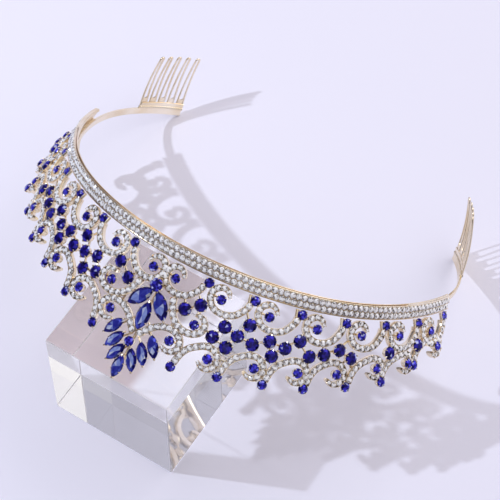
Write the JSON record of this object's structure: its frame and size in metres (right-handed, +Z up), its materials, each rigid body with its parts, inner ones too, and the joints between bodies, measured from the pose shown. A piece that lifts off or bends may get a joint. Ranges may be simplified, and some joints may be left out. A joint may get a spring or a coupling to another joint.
{
  "type": "crystal tiara on clear display block",
  "caption": "Curved tiara with crystal rows on its band and a pierced ornament of scrolls and blue stones, resting upside down on a clear block, with side combs.",
  "frame": {"origin": "middle of the bounding box, on the table under the block", "axes": "+X to the right seen from the front, +Y to the back where the two ends lie, +Z up from the table"},
  "size_m": [0.1538, 0.1326, 0.071],
  "materials": {
    "gold_metal": "polished pale champagne gold plate",
    "blue_crystal": "cut royal blue glass with a foiled back",
    "blue_marquise": "cut blue glass with a pale table",
    "clear_crystal": "cut clear glass with a foiled back",
    "clear_acrylic": "polished clear acrylic"
  },
  "bodies": {
    "root": {"display_block": "clear_acrylic", "head_band": "gold_metal", "scrollwork": "gold_metal", "top_round": "blue_crystal", "fan_round": "blue_crystal", "petal_middle": "blue_marquise", "petal_left": "blue_marquise", "petal_right": "blue_marquise", "leaf_tip": "blue_marquise", "leaf_left_1": "blue_marquise", "leaf_left_2": "blue_marquise", "leaf_left_3": "blue_marquise", "leaf_right_1": "blue_marquise", "leaf_right_2": "blue_marquise", "leaf_right_3": "blue_marquise", "round_left_1": "blue_crystal", "round_left_2": "blue_crystal", "round_left_3": "blue_crystal", "round_left_4": "blue_crystal", "round_left_5": "blue_crystal", "round_left_6": "blue_crystal", "round_left_7": "blue_crystal", "round_left_8": "blue_crystal", "round_left_9": "blue_crystal", "round_left_10": "blue_crystal", "round_left_11": "blue_crystal", "round_left_12": "blue_crystal", "round_right_1": "blue_crystal", "round_right_2": "blue_crystal", "round_right_3": "blue_crystal", "round_right_4": "blue_crystal", "round_right_5": "blue_crystal", "round_right_6": "blue_crystal", "round_right_7": "blue_crystal", "round_right_8": "blue_crystal", "round_right_9": "blue_crystal", "round_right_10": "blue_crystal", "round_right_11": "blue_crystal", "round_right_12": "blue_crystal", "outer_stones_left": "blue_crystal", "outer_stones_right": "blue_crystal"}
  },
  "joints": []
}
